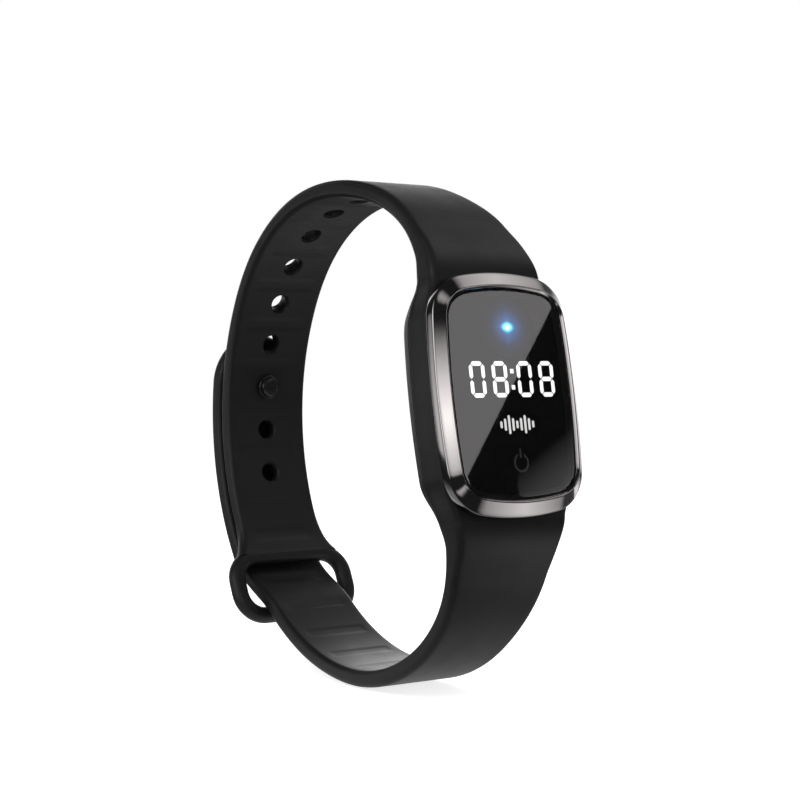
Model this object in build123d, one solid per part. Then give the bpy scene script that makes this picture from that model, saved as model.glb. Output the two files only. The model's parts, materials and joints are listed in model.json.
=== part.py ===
from build123d import *
from math import cos, radians, sin
import os

# Wrist-worn voice recorder: a silicone band with a cradle, a stud-and-loop clasp
# and a recorder case that presses into the cradle from the front.
# Frame: X runs across the band, -Y is the front, +Z is up. The origin is the middle
# of the wrist opening.

# Lengths are in millimetres and angles in degrees.

# Longer than anything that a cut has to go through.
cut_reach = 150.0

# ---- band ----
band_thick = 2.6
band_wide = 15.0
band_wide_at_case = 19.0
flare_starts_y = -3.0
flare_ends_y = -21.5
lower_flare_starts_z = -31.0
lower_flare_ends_z = -9.0

# The inner face of the band is a chain of tangent arcs, from the case's upper end
# over the top, down the back and round the bottom to the case's lower end.
# The back and bottom radii are None because they close the loop.
arc_names = ("shoulder", "top", "upper_back", "back", "lower_back", "heel", "bottom", "throat")
arc_turns = (49.0, 38.0, 54.0, 52.0, 41.0, 23.0, 60.0, 43.0)
arc_radii = (12.0, 37.0, 27.0, None, 36.0, 35.0, None, 16.5)

# ---- sizing holes and clasp ----
hole_count = 9
hole_pitch = 7.2
hole_radius = 1.5
first_hole_at = 33.2
stud_hole = 6
stretched_hole_radius = 2.45
layer_gap = 0.6
tail_past_stud = 7.5
tail_tip_flat = 0.4
tail_corner = (band_wide - tail_tip_flat) / 2
hinge_below_stud = 19.0
loop_bar_radius = 1.35
loop_top_at = 105.0
loop_bar_spacing = 8.6
loop_wide = 23.4
loop_corner = 3.9
crossing_length = 12.0
stud_stem_radius = 1.3
stud_head_radius = 2.0
stud_head_thick = 0.9
stud_head_bevel = 0.35
stud_base_radius = 2.7
stud_base_thick = 0.6
stud_head_gap = 0.25

# ---- recorder case: place and outline ----
case_tilt = 9.7
case_y = -27.5
case_z = 6.8
case_half_wide = 12.55
case_half_tall = 17.35
side_bow = 131.0
end_bow = 40.0
case_corner = 6.4

# ---- recorder case: heights, measured back from the bezel's crest ----
bezel_side_slope = 1.46
bezel_end_slope = 2.0
bezel_slope_depth = 1.2
bezel_depth = 2.7
crest_land = 0.08
lip_wide = 0.42
lip_depth = 0.35
lens_top = 0.45
lens_thick = 0.6
adhesive_thick = 0.1
ledge_wide = 0.8
mask_thick = 0.2
led_height = 0.6
led_gap = 0.1
board_thick = 0.5
frame_height = 0.75
frame_wall = 1.4
main_board_thick = 0.6
battery_foam_thick = 0.2
battery_thick = 2.2
battery_pad_thick = 0.1
cover_thick = 0.8
seal_thick = 0.2

# ---- recorder case: walls ----
shell_inset = 1.75
shell_wall = 0.9
shell_ledge = 0.8
board_clear = 0.15
fit_clear = 0.05

# ---- cradle ----
pocket_clear = 0.2
pocket_floor_clear = 0.2
rim_clear = 0.15
cradle_inset = 0.3
cradle_floor = 2.0
cradle_bevel_tall = 2.1
cradle_bevel_in = 0.95
band_set_forward = 2.0
shoulder_inside = 1.0
shoulder_reach = 9.0
shoulder_foot = 0.5

# ---- display ----
display_shift = 0.8
digit_wide = 2.75
digit_tall = 5.1
digit_stroke = 0.62
segment_gap = 0.09
digit_middle_v = 2.1
digit_places = (-6.25, -2.25, 2.25, 6.25)
digit_shown = "0808"
colon_half = 1.15
level_middle_v = -4.3
level_pitch = 0.72
level_bar = 0.41
level_heights = (1.0, 1.7, 2.7, 1.8, 1.1, 1.8, 2.6, 1.7, 1.0)
touch_v = -9.7
touch_ring_radius = 1.35
touch_ring_stroke = 0.3
touch_ring_gap = 1.1
touch_pad_radius = 1.6
touch_pad_thick = 0.1
status_v = 9.5
status_guide_radius = 0.55
led_side = 0.9

# ---- inside ----
chip_height = 0.8
controller_size = (5.0, 5.0)
controller_at = (-5.4, -5.6)
memory_size = (6.0, 5.0)
memory_at = (4.6, -5.6)
crystal_size = (2.0, 1.2)
crystal_at = (-0.6, -5.6)
connector_size = (6.0, 2.0)
connector_at = (0.0, 6.0)
battery_size = (16.8, 11.4)
battery_middle_v = 4.8
battery_corner = 0.8
battery_pad_inset = 1.0
tab_wide = 1.5
tab_thick = 0.15
tab_apart = 6.0
microphone_size = (3.0, 1.9)
microphone_v = -12.4
port_radius = 0.3
gasket_wide = 2.2
boss_radius = 1.3
boss_at = (7.6, 12.0)
screw_radius = 0.6
screw_head_radius = 1.0
screw_head_thick = 0.45
screw_tip_clear = 0.5
thread_clear = 0.03
contact_count = 4
contact_pitch = 2.54
contact_radius = 0.8
contact_v = -11.0
spring_radius = 0.45


# ---------- the band's path ----------

def unit_chord(heading, turn):
    """Chord, as y and z, of an arc of radius 1 that turns clockwise from a heading."""
    later = heading - turn
    return Vector(0, sin(heading) - sin(later), cos(later) - cos(heading))


def case_point(v, n):
    """A point in the middle plane: v up along the case, n out from the bezel's crest."""
    tilt = radians(case_tilt)
    y = case_y + v * sin(tilt) - n * cos(tilt)
    z = case_z + v * cos(tilt) + n * sin(tilt)
    return Vector(0, y, z)


cradle_half_tall = case_half_tall - cradle_inset
case_rear = -(lens_top + lens_thick + mask_thick + led_gap + led_height + board_thick
              + frame_height + main_board_thick + battery_foam_thick + battery_thick
              + battery_pad_thick + cover_thick)
pocket_floor = case_rear - pocket_floor_clear
cradle_back = pocket_floor - cradle_floor
cradle_rim = -bezel_depth - rim_clear
band_inner_n = cradle_back + band_set_forward


def closed_radii():
    """The arc radii, with the back and the bottom solved so that the loop closes."""
    heading = radians(90 - case_tilt)
    chords = []
    for turn in arc_turns:
        chords.append(unit_chord(heading, radians(turn)))
        heading -= radians(turn)
    rest = case_point(-cradle_half_tall, band_inner_n) - case_point(cradle_half_tall, band_inner_n)
    for chord, radius in zip(chords, arc_radii):
        if radius:
            rest = rest - chord * radius
    back = chords[arc_names.index("back")]
    bottom = chords[arc_names.index("bottom")]
    scale = back.Y * bottom.Z - back.Z * bottom.Y
    back_radius = (rest.Y * bottom.Z - rest.Z * bottom.Y) / scale
    bottom_radius = (back.Y * rest.Z - back.Z * rest.Y) / scale
    solved = {"back": back_radius, "bottom": bottom_radius}
    return [solved.get(name, radius) for name, radius in zip(arc_names, arc_radii)]


radii = closed_radii()
arc_lengths = [radius * radians(turn) for radius, turn in zip(radii, arc_turns)]
path_length = sum(arc_lengths)


def on_path(along, out=0.0):
    """Point, heading and outward normal at a length along the band's inner face."""
    point = case_point(cradle_half_tall, band_inner_n)
    heading = radians(90 - case_tilt)
    for index, (radius, length) in enumerate(zip(radii, arc_lengths)):
        step = min(along, length)
        if index == len(radii) - 1:
            step = along
        point = point + unit_chord(heading, step / radius) * radius
        heading -= step / radius
        along -= step
        if along <= 0:
            break
    outward = Vector(0, -sin(heading), cos(heading))
    return point + outward * out, Vector(0, cos(heading), sin(heading)), outward


def path_stops(start, end):
    """Lengths at which one arc hands over to the next, between two lengths."""
    stops = [start]
    total = 0.0
    for length in arc_lengths[:-1]:
        total += length
        if start + 0.01 < total < end - 0.01:
            stops.append(total)
    return stops + [end]


def path_edges(start, end, out):
    """The arcs that follow the path at one height above the inner face."""
    stops = path_stops(start, end)
    edges = []
    for low, high in zip(stops[:-1], stops[1:]):
        ends = [on_path(at, out)[0] for at in (low, (low + high) / 2, high)]
        edges.append(ThreePointArc(*ends))
    return edges


def slab(edges, wide):
    """A closed outline in the middle plane, made wide to both sides."""
    return extrude(make_face(edges), wide / 2, (1, 0, 0), both=True)


def band(start, end, low, high, wide):
    """A length of strap between two heights above the inner face."""
    first = Line(on_path(start, low)[0], on_path(start, high)[0])
    last = Line(on_path(end, low)[0], on_path(end, high)[0])
    edges = path_edges(start, end, low) + path_edges(start, end, high)
    return slab([first, last] + edges, wide)


def across_band(along, out=0.0):
    """A plane on the band whose z points outwards and whose x runs across."""
    point, heading, outward = on_path(along, out)
    return Plane(origin=point, x_dir=(1, 0, 0), z_dir=outward)


# ---------- the case's outlines ----------

case_frame = Location((0, case_y, case_z), (90 - case_tilt, 0, 0))


def in_case(shape):
    return case_frame * shape


def bowed_outline(half_wide, half_tall, shrink):
    """A rectangle with gently bowed sides and ends and round corners."""
    side = side_bow - shrink
    end = end_bow - shrink
    outline = Pos(half_wide - side, 0) * Circle(side)
    outline &= Pos(side - half_wide, 0) * Circle(side)
    outline &= Pos(0, half_tall - end) * Circle(end)
    outline &= Pos(0, end - half_tall) * Circle(end)
    return fillet(outline.vertices(), case_corner - shrink)


def case_outline(side_in, end_in=None):
    """The case's outline drawn in by an amount at the sides, and another at the ends."""
    end_in = side_in if end_in is None else end_in
    return bowed_outline(case_half_wide - side_in, case_half_tall - end_in, (side_in + end_in) / 2)


def plate(outline, top, bottom):
    return extrude(Pos(0, 0, bottom) * outline, top - bottom)


def slope(lower, low_n, upper, high_n):
    return loft([Pos(0, 0, low_n) * lower, Pos(0, 0, high_n) * upper], ruled=True)


def block(size, at, top, bottom):
    return plate(Pos(at[0], at[1]) * Rectangle(*size), top, bottom)


def disc(radius, at, top, bottom):
    return plate(Pos(at[0], at[1]) * Circle(radius), top, bottom)


lens_side = bezel_side_slope + lip_wide
lens_end = bezel_end_slope + lip_wide
window_side = lens_side + ledge_wide
window_end = lens_end + ledge_wide
lens_bottom = -lens_top - lens_thick
mask_bottom = lens_bottom - mask_thick
led_top = mask_bottom - led_gap
board_top = led_top - led_height
board_bottom = board_top - board_thick
main_top = board_bottom - frame_height
main_bottom = main_top - main_board_thick
foam_bottom = main_bottom - battery_foam_thick
battery_bottom = foam_bottom - battery_thick
cover_top = battery_bottom - battery_pad_thick
shell_inner = shell_inset + shell_wall
seat_inner = shell_inner + shell_ledge


# ---------- band pieces ----------

def widening(near, far):
    """A plan of the band's width, narrow beyond near and full beyond far."""
    narrow = band_wide / 2
    full = band_wide_at_case / 2
    curves = []
    for side in (-1, 1):
        curves.append(Line((side * narrow, cut_reach), (side * narrow, near)))
        curves.append(Spline((side * narrow, near), (side * full, far),
                             tangents=((0, -1), (0, -1))))
        curves.append(Line((side * full, far), (side * full, -cut_reach)))
    curves.append(Line((-narrow, cut_reach), (narrow, cut_reach)))
    curves.append(Line((-full, -cut_reach), (full, -cut_reach)))
    return make_face(curves)


def flare():
    """Everything inside the band's width, which grows towards the case from both ends."""
    above = extrude(widening(flare_starts_y, flare_ends_y), cut_reach)
    front = Plane(origin=(0, flare_starts_y, 0), x_dir=(1, 0, 0), z_dir=(0, 1, 0))
    below = front * extrude(widening(-lower_flare_starts_z, -lower_flare_ends_z), -cut_reach)
    below &= Pos(0, 0, -cut_reach / 2) * Box(cut_reach, 2 * cut_reach, cut_reach)
    back_reach = cut_reach - flare_starts_y
    back = Pos(0, flare_starts_y + back_reach / 2, -cut_reach / 2) * Box(band_wide, back_reach, cut_reach)
    return above + below + back


def shoulder(start, side):
    """The wedge that carries the band's outer face up to the cradle's rim."""
    meets_v = side * (cradle_half_tall - shoulder_inside)
    along = start + side * shoulder_reach
    tangent_point = on_path(along, band_thick)[0]
    corners = [case_point(meets_v, cradle_rim), tangent_point, on_path(along, band_thick / 2)[0],
               case_point(meets_v, band_inner_n + shoulder_foot)]
    return slab(Polyline(*corners, close=True).edges(), band_wide_at_case)


def cradle():
    """The tray that the case presses into, with a bevelled back edge."""
    outer = case_outline(cradle_inset)
    back = case_outline(cradle_inset + cradle_bevel_in)
    bevel_top = cradle_back + cradle_bevel_tall
    tray = plate(outer, cradle_rim, bevel_top)
    tray += slope(back, cradle_back, outer, bevel_top)
    return tray


def pocket():
    return plate(case_outline(shell_inset - pocket_clear), 0, pocket_floor)


def crossing():
    """The lower band's rise through the loop, from the inner layer to the outer one."""
    low_at = loop_top_at + (loop_bar_spacing + crossing_length) / 2
    high_at = low_at - crossing_length
    rise = band_thick + layer_gap
    curves = []
    for out in (0.0, band_thick):
        low, low_heading, _ = on_path(low_at, out)
        high, high_heading, _ = on_path(high_at, out + rise)
        curves.append(Spline(low, high, tangents=(-low_heading, -high_heading)))
    for at, out in ((low_at, 0.0), (high_at, rise)):
        curves.append(Line(on_path(at, out)[0], on_path(at, out + band_thick)[0]))
    return slab(curves, band_wide), low_at, high_at


def clasp_loop():
    """The round-bar loop moulded on the end of the holed band."""
    upper = on_path(loop_top_at, band_thick / 2)[0]
    lower = on_path(loop_top_at + loop_bar_spacing,
                    band_thick + layer_gap + loop_bar_radius)[0]
    middle = (upper + lower) / 2
    rise = (upper - lower).normalized()
    face_out = Vector(1, 0, 0).cross(rise)
    plane = Plane(origin=middle, x_dir=(1, 0, 0), z_dir=face_out)
    long_way = loop_wide - 2 * loop_bar_radius
    short_way = (upper - lower).length
    route = plane * RectangleRounded(long_way, short_way, loop_corner)
    wire = route.face().outer_wire()
    start = wire.position_at(0)
    section = Plane(origin=start, z_dir=wire.tangent_at(0)) * Circle(loop_bar_radius)
    return sweep(section, path=wire)


def hole_at(index):
    return first_hole_at + index * hole_pitch


def sizing_holes():
    """The nine holes; the one that holds the stud is stretched round its head."""
    tools = []
    for index in range(hole_count):
        radius = stretched_hole_radius if index == stud_hole else hole_radius
        plane = across_band(hole_at(index))
        tools.append(plane * Cylinder(radius, 4 * band_thick))
    return tools


stud_at = hole_at(stud_hole)
hinge_at = stud_at + hinge_below_stud
tail_low = band_thick + layer_gap
tail_high = tail_low + band_thick


def strap():
    """The moulded band: cradle, holed upper length, loop, and lower length to the hinge."""
    rise, low_at, high_at = crossing()
    upper = band(0, loop_top_at, 0, band_thick, band_wide_at_case)
    for tool in sizing_holes():
        upper -= tool
    lower = band(low_at, path_length, 0, band_thick, band_wide_at_case)
    fixed_tail = band(hinge_at, high_at, tail_low, tail_high, band_wide)
    shape = upper + shoulder(0, 1)
    shape += lower + shoulder(path_length, -1)
    shape &= flare()
    shape += rise
    shape += fixed_tail
    shape += clasp_loop()
    shape += in_case(cradle())
    shape -= in_case(pocket())
    return shape


def tail_trim():
    """A long slab with round corners at the tip, square to the band there."""
    tip_at = stud_at - tail_past_stud
    plane = across_band(tip_at + tail_corner)
    outline = Rectangle(band_wide, cut_reach)
    outline = fillet(outline.vertices().group_by(Axis.Y)[0], tail_corner)
    shift = cut_reach / 2 - tail_corner
    return plane * Pos(0, shift, 0) * extrude(outline, cut_reach, both=True)


def strap_tail():
    """The free end of the lower band, outside the holed layer, above the hinge line."""
    tip_at = stud_at - tail_past_stud
    tail = band(tip_at, hinge_at - layer_gap, tail_low, tail_high, band_wide)
    tail &= tail_trim()
    outer = across_band(stud_at, tail_high)
    tail -= outer * Cylinder(stud_base_radius + fit_clear, 2 * stud_base_thick)
    tail -= outer * Cylinder(stud_stem_radius + fit_clear, 4 * band_thick)
    return tail


def clasp_stud():
    """A mushroom stud: base let into the tail, stem, and a bevelled head inside the band."""
    outer = across_band(stud_at, tail_high)
    head_top = tail_high + stud_head_gap
    base = disc(stud_base_radius, (0, 0), 0, -stud_base_thick)
    stem = disc(stud_stem_radius, (0, 0), -stud_base_thick, -head_top - stud_head_thick / 2)
    head = disc(stud_head_radius, (0, 0), -head_top, -head_top - stud_head_thick)
    head = chamfer(head.edges().group_by(Axis.Z)[0], stud_head_bevel)
    return outer * (base + stem + head)


# ---------- case pieces ----------

def bezel_ring():
    """The metal frame: wall, sloped flank, narrow crest, lip down to the lens, ledge."""
    wall = case_outline(0)
    crest = case_outline(bezel_side_slope, bezel_end_slope)
    ring = plate(wall, -bezel_slope_depth, -bezel_depth)
    ring += slope(wall, -bezel_slope_depth, crest, 0)
    land = case_outline(bezel_side_slope + crest_land, bezel_end_slope + crest_land)
    seat = case_outline(lens_side - fit_clear, lens_end - fit_clear)
    ring -= slope(seat, -lip_depth, land, 0)
    ring -= plate(seat, -lip_depth, lens_bottom - adhesive_thick)
    ring -= plate(case_outline(window_side, window_end), 0, -cut_reach)
    port = Plane(origin=(0, -case_half_tall, port_level()), z_dir=(0, 1, 0))
    ring -= port * Cylinder(port_radius, 4 * bezel_end_slope)
    return ring


def port_level():
    return (led_top + board_top) / 2


def front_lens():
    return plate(case_outline(lens_side, lens_end), -lens_top, lens_bottom)


def lens_adhesive():
    ring = plate(case_outline(lens_side, lens_end), lens_bottom, lens_bottom - adhesive_thick)
    return ring - plate(case_outline(window_side, window_end), 0, -cut_reach)


def segment(long_side, at, upright):
    """One bar of a digit, with pointed ends."""
    half = long_side / 2
    nib = digit_stroke / 2
    points = [(-half, 0), (-half + nib, nib), (half - nib, nib), (half, 0),
              (half - nib, -nib), (-half + nib, -nib)]
    turned = Rot(0, 0, 90 if upright else 0) * make_face(Polyline(*points, close=True).edges())
    return Pos(*at) * turned


def digit_faces(shown, middle):
    """The lit bars of one seven-bar digit."""
    wide = digit_wide - digit_stroke
    tall = (digit_tall - digit_stroke) / 2
    bars = {
        "top": (wide, (0, tall), False), "middle": (wide, (0, 0), False),
        "bottom": (wide, (0, -tall), False),
        "upper_left": (tall, (-wide / 2, tall / 2), True),
        "upper_right": (tall, (wide / 2, tall / 2), True),
        "lower_left": (tall, (-wide / 2, -tall / 2), True),
        "lower_right": (tall, (wide / 2, -tall / 2), True),
    }
    unlit = {"0": ("middle",), "8": ()}[shown]
    faces = []
    for name, (long_side, (x, y), upright) in bars.items():
        if name not in unlit:
            at = (middle + x, digit_middle_v + y)
            faces.append(segment(long_side - 2 * segment_gap, at, upright))
    return faces


def display_faces():
    """Every lit bar of the clock read-out."""
    faces = []
    for shown, place in zip(digit_shown, digit_places):
        faces += digit_faces(shown, display_shift + place)
    for side in (-1, 1):
        at = (display_shift, digit_middle_v + side * colon_half)
        faces.append(Pos(*at) * Rectangle(digit_stroke, digit_stroke))
    return faces


def level_faces():
    """A row of bars of uneven height, the sound level icon."""
    faces = []
    middle = (len(level_heights) - 1) / 2
    for index, height in enumerate(level_heights):
        at = (display_shift + (index - middle) * level_pitch, level_middle_v)
        faces.append(Pos(*at) * SlotOverall(height, level_bar, rotation=90)
                     if height > level_bar * 1.05 else Pos(*at) * Circle(level_bar / 2))
    return faces


def touch_face():
    """An open ring with a short stroke in its gap, the plain sign for on and off."""
    ring = Circle(touch_ring_radius) - Circle(touch_ring_radius - touch_ring_stroke)
    ring -= Pos(0, touch_ring_radius) * Rectangle(touch_ring_gap, 2 * touch_ring_radius)
    ring += Pos(0, touch_ring_radius) * Rectangle(touch_ring_stroke, touch_ring_radius)
    return Pos(display_shift, touch_v) * ring


def mask_layer(face):
    return plate(face, lens_bottom, mask_bottom)


def group(shapes):
    return Compound(children=[solid for shape in shapes for solid in shape.solids()])


def digit_segments():
    return group([mask_layer(face) for face in display_faces()])


def level_icon():
    return group([mask_layer(face) for face in level_faces()])


def touch_mark():
    return mask_layer(touch_face())


def status_light_guide():
    return disc(status_guide_radius, (display_shift, status_v), lens_bottom, led_top)


def display_mask():
    """The dark layer under the lens, with a window for everything that lights."""
    mask = mask_layer(case_outline(window_side + board_clear, window_end + board_clear))
    for face in display_faces() + level_faces() + [touch_face()]:
        mask -= plate(face, 0, -cut_reach)
    return mask - disc(status_guide_radius, (display_shift, status_v), 0, -cut_reach)


def display_leds():
    """Small light packages on the board: two rows of digits' worth, and the icon's."""
    lights = []
    for place in digit_places:
        for side in (-1, 1):
            at = (display_shift + place, digit_middle_v + side * digit_tall / 4)
            lights.append(block((digit_wide * 0.7, led_side), at, led_top, board_top))
    lights.append(block((led_side, led_side), (display_shift, digit_middle_v), led_top, board_top))
    for side in (-1, 1):
        at = (display_shift + side * 2 * level_pitch, level_middle_v)
        lights.append(block((2 * led_side, led_side), at, led_top, board_top))
    return group(lights)


def status_led():
    return block((led_side, led_side), (display_shift, status_v), led_top, board_top)


def board_outline():
    return case_outline(window_side + board_clear, window_end + board_clear)


def display_board():
    return plate(board_outline(), board_top, board_bottom)


def touch_electrode():
    return disc(touch_pad_radius, (display_shift, touch_v), board_top + touch_pad_thick, board_top)


def mid_frame():
    """The plastic spacer between the two boards."""
    frame = plate(board_outline(), board_bottom, main_top)
    inner = case_outline(window_side + board_clear + frame_wall, window_end + board_clear + frame_wall)
    return frame - plate(inner, 0, -cut_reach)


def board_connector():
    return block(connector_size, connector_at, board_bottom, main_top)


def main_board():
    return plate(case_outline(shell_inner + board_clear), main_top, main_bottom)


def controller_chip():
    return block(controller_size, controller_at, main_bottom, main_bottom - chip_height)


def memory_chip():
    return block(memory_size, memory_at, main_bottom, main_bottom - chip_height)


def clock_crystal():
    return block(crystal_size, crystal_at, main_bottom, main_bottom - chip_height * 0.75)


def microphone():
    return block(microphone_size, (0, microphone_v), led_top, board_top)


def microphone_gasket():
    """The rubber sleeve from the port in the bezel to the microphone."""
    bezel_v = -(case_half_tall - window_end) + fit_clear
    mic_v = microphone_v - microphone_size[1] / 2
    middle_v = (bezel_v + mic_v) / 2
    sleeve = block((gasket_wide, mic_v - bezel_v), (0, middle_v), led_top, board_top)
    bore = Plane(origin=(0, middle_v, port_level()), z_dir=(0, 1, 0))
    return sleeve - bore * Cylinder(port_radius * 0.8, 2 * (mic_v - bezel_v))


def battery_cushion(top, bottom):
    inner = [side - 2 * battery_pad_inset for side in battery_size]
    return block(inner, (0, battery_middle_v), top, bottom)


def battery_foam():
    return battery_cushion(main_bottom, foam_bottom)


def battery_cell():
    """A flat cell with rounded corners."""
    cell = block(battery_size, (0, battery_middle_v), foam_bottom, battery_bottom)
    return fillet(cell.edges().filter_by(Axis.Z), battery_corner)


def battery_pad():
    return battery_cushion(battery_bottom, cover_top)


def battery_tabs():
    """Two flat tabs from the end of the cell up to the main board."""
    end_v = battery_middle_v - battery_size[1] / 2 - tab_thick / 2
    low = (foam_bottom + battery_bottom) / 2
    return group([block((tab_wide, tab_thick), (side * tab_apart / 2, end_v), main_bottom, low)
                  for side in (-1, 1)])


def boss_places():
    return [(x * boss_at[0], y * boss_at[1]) for x in (-1, 1) for y in (-1, 1)]


def housing_shell():
    """The plastic wall of the case, with a ledge for the board and four screw bosses."""
    shell = plate(case_outline(shell_inset), -bezel_depth, case_rear)
    shell -= plate(case_outline(shell_inner), 0, main_bottom)
    shell -= plate(case_outline(seat_inner), 0, -cut_reach)
    shell -= plate(case_outline(shell_inner), cover_top + seal_thick, -cut_reach)
    limit = plate(case_outline(shell_inner - shell_wall / 2), main_bottom, cover_top + seal_thick)
    for at in boss_places():
        shell += disc(boss_radius, at, main_bottom, cover_top + seal_thick) & limit
    for at in boss_places():
        shell -= disc(screw_radius + thread_clear, at, main_bottom - screw_tip_clear, -cut_reach)
    return shell


def rear_seal():
    """The gasket under the cover, with a hole for each screw."""
    top = cover_top + seal_thick
    seal = plate(case_outline(shell_inner + fit_clear), top, cover_top)
    seal -= plate(case_outline(seat_inner), 0, -cut_reach)
    for at in boss_places():
        seal -= disc(screw_radius + thread_clear, at, 0, -cut_reach)
    return seal


def screw_in_cover(at):
    head = disc(screw_head_radius, at, case_rear + screw_head_thick, case_rear)
    return head + disc(screw_radius, at, main_bottom - screw_tip_clear, case_rear + screw_head_thick)


def cover_screws():
    return group([screw_in_cover(at) for at in boss_places()])


def contact_places():
    first = -(contact_count - 1) / 2 * contact_pitch
    return [(first + index * contact_pitch, contact_v) for index in range(contact_count)]


def rear_cover():
    """The plate that closes the back, with seats for its screws and contacts."""
    cover = plate(case_outline(shell_inner + fit_clear), cover_top, case_rear)
    for at in boss_places():
        cover -= disc(screw_radius + fit_clear, at, 0, -cut_reach)
        cover -= disc(screw_head_radius + fit_clear, at, case_rear + screw_head_thick, -cut_reach)
    for at in contact_places():
        cover -= disc(contact_radius, at, 0, -cut_reach)
    return cover


def charging_contacts():
    return group([disc(contact_radius, at, cover_top, case_rear) for at in contact_places()])


def contact_springs():
    return group([disc(spring_radius, at, main_bottom, cover_top) for at in contact_places()])


band_pieces = {"strap": strap, "strap_tail": strap_tail, "clasp_stud": clasp_stud}

case_pieces = {
    "bezel_ring": bezel_ring, "front_lens": front_lens, "lens_adhesive": lens_adhesive,
    "display_mask": display_mask, "digit_segments": digit_segments, "level_icon": level_icon,
    "touch_mark": touch_mark, "status_light_guide": status_light_guide,
    "display_leds": display_leds, "status_led": status_led, "display_board": display_board,
    "touch_electrode": touch_electrode, "mid_frame": mid_frame,
    "board_connector": board_connector, "main_board": main_board,
    "controller_chip": controller_chip, "memory_chip": memory_chip,
    "clock_crystal": clock_crystal, "microphone": microphone,
    "microphone_gasket": microphone_gasket, "battery_foam": battery_foam,
    "battery_cell": battery_cell, "battery_pad": battery_pad, "battery_tabs": battery_tabs,
    "housing_shell": housing_shell, "rear_seal": rear_seal, "rear_cover": rear_cover,
    "cover_screws": cover_screws, "charging_contacts": charging_contacts,
    "contact_springs": contact_springs,
}

os.makedirs("parts", exist_ok=True)
for name, make in band_pieces.items():
    export_step(make(), f"parts/{name}.step")
for name, make in case_pieces.items():
    export_step(in_case(make()), f"parts/{name}.step")
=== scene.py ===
import json
import bpy
import numpy as np
from mathutils import Matrix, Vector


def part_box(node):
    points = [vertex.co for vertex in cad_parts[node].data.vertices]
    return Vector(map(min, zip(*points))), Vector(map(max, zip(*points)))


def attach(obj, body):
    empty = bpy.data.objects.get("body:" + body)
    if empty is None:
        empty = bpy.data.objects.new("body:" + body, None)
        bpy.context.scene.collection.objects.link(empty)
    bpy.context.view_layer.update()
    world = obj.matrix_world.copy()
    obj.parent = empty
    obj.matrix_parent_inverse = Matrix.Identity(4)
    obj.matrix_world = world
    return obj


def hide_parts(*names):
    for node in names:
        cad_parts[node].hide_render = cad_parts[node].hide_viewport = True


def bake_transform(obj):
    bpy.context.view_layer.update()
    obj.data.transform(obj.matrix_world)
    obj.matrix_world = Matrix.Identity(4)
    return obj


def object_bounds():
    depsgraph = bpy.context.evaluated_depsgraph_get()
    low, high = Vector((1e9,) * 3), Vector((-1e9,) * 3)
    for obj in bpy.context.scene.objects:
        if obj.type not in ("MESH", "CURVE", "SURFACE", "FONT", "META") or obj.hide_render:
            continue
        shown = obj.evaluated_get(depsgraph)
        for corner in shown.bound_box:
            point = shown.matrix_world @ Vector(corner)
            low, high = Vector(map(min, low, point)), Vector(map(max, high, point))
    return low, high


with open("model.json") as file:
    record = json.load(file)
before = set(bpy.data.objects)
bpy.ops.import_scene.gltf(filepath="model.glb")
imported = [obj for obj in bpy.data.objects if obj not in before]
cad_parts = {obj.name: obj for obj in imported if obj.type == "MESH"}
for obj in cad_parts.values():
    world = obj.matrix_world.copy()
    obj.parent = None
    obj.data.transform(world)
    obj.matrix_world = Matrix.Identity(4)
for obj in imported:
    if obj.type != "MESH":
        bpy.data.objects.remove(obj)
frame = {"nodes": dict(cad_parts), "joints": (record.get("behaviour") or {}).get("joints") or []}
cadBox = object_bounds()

mm = 0.001
print("frame loaded")

# Lengths are in millimetres until a mesh is made, and angles are in radians.
# The band runs along X as its width; the case's own axes are u across, v up and n out of its face.


def nodeBox(node):
    # a CAD node's lowest and highest corners in millimetres
    low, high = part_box(node)
    return np.array(low) / mm, np.array(high) / mm


release = [joint for joint in frame["joints"] if joint["name"] == "case_release"][0]
caseOut = np.array(release["axis"], float)
caseOut /= np.linalg.norm(caseOut)
caseUp = np.array([0.0, caseOut[2], -caseOut[1]])
acrossAxis = np.array([1.0, 0.0, 0.0])
lensMiddle = -0.75  # the middle of the lens lies this far behind the bezel's crest
lensLow, lensHigh = nodeBox("front_lens")
caseOrigin = (lensLow + lensHigh) / 2 - caseOut * lensMiddle
bezelLow, bezelHigh = nodeBox("bezel_ring")
print("case at", caseOrigin.round(2), "facing", caseOut.round(4))


def caseToWorld(local):
    # u, v and n along the case's axes, from the middle of the bezel's crest
    return (caseOrigin + local[..., 0:1] * acrossAxis + local[..., 1:2] * caseUp
            + local[..., 2:3] * caseOut)


def smoothStep(value):
    # 3x^2 - 2x^3 between 0 and 1, flat outside
    x = np.clip(value, 0, 1)
    return x * x * (3 - 2 * x)


def gridFaces(rows, columns, wrapRows, wrapColumns):
    # one quad from each grid point to its neighbours to the right and below, round the wrapped ways
    i, j = np.meshgrid(np.arange(rows if wrapRows else rows - 1),
                       np.arange(columns if wrapColumns else columns - 1), indexing="ij")
    i, j = i.ravel(), j.ravel()
    down, right = (i + 1) % rows, (j + 1) % columns
    return np.stack([i * columns + j, i * columns + right, down * columns + right,
                     down * columns + j], 1)


def signedVolume(points, faces):
    # sum over quads of the two triangles' volumes to the origin
    a, b, c, d = (points[faces[:, k]] for k in range(4))
    return (np.einsum("ij,ij->i", a, np.cross(b, c)) + np.einsum("ij,ij->i", a, np.cross(c, d))).sum()


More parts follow.
